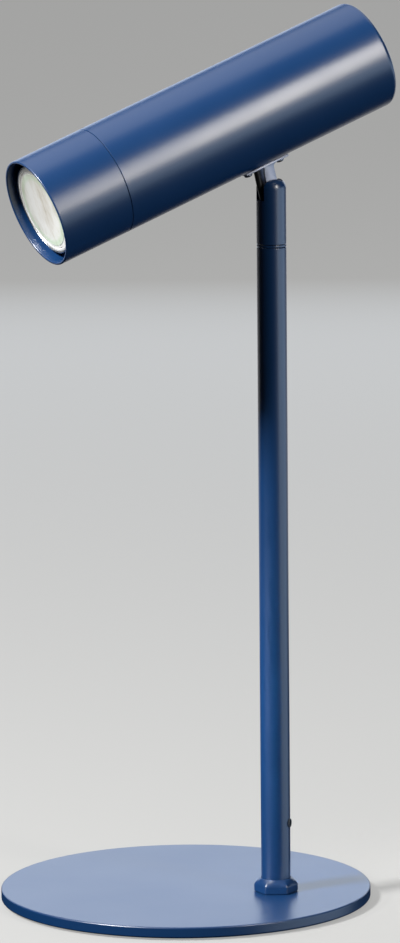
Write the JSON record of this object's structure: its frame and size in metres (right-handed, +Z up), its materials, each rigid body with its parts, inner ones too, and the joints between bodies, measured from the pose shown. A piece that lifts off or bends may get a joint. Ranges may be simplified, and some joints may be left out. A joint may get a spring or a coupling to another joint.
{
  "type": "table lamp",
  "caption": "Table lamp with a tubular spot head that tilts and turns on top of a slim post, which stands off centre on a flat round base.",
  "frame": {"origin": "centre of the round base, on the underside that rests on the table", "axes": "+Z up along the post, -Y the way the head points at rest, +X across the head, parallel to the tilt pivot"},
  "size_m": [0.203, 0.2188, 0.4913],
  "materials": {
    "blue_paint": "satin",
    "bright_steel": "polished",
    "plated_steel": "zinc plated",
    "bare_aluminium": "turned",
    "brass": "turned",
    "black_foam": "matte",
    "black_rubber": "satin",
    "white_nylon": "natural",
    "black_flex": "satin",
    "brown_core": "satin",
    "blue_core": "satin",
    "white_ceramic": "unglazed",
    "white_plastic": "satin",
    "lens_glass": "clear, ribbed inside",
    "silvered_glass": "silvered inside"
  },
  "bodies": {
    "stand": {"base_pad": "black_foam", "base_plate": "blue_paint", "base_screw": "plated_steel", "foot_plug": "plated_steel", "foot_collar": "blue_paint", "post_tube": "blue_paint", "outlet_grommet": "black_rubber", "lead_clamp": "white_nylon", "post_lead": "black_flex", "post_bush": "brass", "stop_pin": "plated_steel"},
    "swivel": {"swivel_ring": "blue_paint", "swivel_sleeve": "blue_paint", "swivel_core": "brass", "stop_collar": "plated_steel", "spring_washer": "plated_steel", "spindle_nut": "plated_steel", "joint_lead": "black_flex"},
    "head": {"saddle_bracket": "bright_steel", "saddle_screw_front": "plated_steel", "saddle_screw_rear": "plated_steel", "pivot_pin": "plated_steel", "pivot_washer_near": "white_nylon", "pivot_washer_far": "white_nylon", "lead_grommet": "black_rubber", "rear_housing": "blue_paint", "coupling_ring": "bare_aluminium", "holder_bracket": "plated_steel", "lampholder": "white_ceramic", "contact_live": "brass", "contact_neutral": "brass", "holder_screw_upper": "plated_steel", "holder_screw_lower": "plated_steel", "terminal_block": "white_plastic", "terminal_screw_live": "brass", "terminal_screw_neutral": "brass", "block_screw": "plated_steel", "head_lead": "black_flex", "lead_live": "brown_core", "lead_neutral": "blue_core"},
    "lamp": {"lamp_lens": "lens_glass", "lamp_reflector": "silvered_glass", "lamp_base": "white_ceramic", "lamp_pin_1": "brass", "lamp_pin_2": "brass", "lamp_capsule": "lens_glass"},
    "front_sleeve": {"front_sleeve": "blue_paint"}
  },
  "joints": [
    {"name": "pan", "type": "hinge", "parent": "stand", "child": "swivel", "pos_m": [0.03677, 0.03677, 0.3644], "axis": [0, 0, 1], "range_deg": [-213, 123]},
    {"name": "tilt", "type": "hinge", "parent": "swivel", "child": "head", "pos_m": [0.03677, 0.03677, 0.393], "axis": [1, 0, 0], "range_deg": [-30.5, 69.5], "deforming": ["joint_lead"]},
    {"name": "sleeve_draw", "type": "slide", "parent": "head", "child": "front_sleeve", "axis": [0, -0.9367, -0.3502], "range_m": [0, 0.045]},
    {"name": "lamp_twist", "type": "hinge", "parent": "head", "child": "lamp", "pos_m": [0.03677, -0.10345, 0.38968], "axis": [0, 0.9367, 0.3502], "range_deg": [-18, 0]}
  ]
}
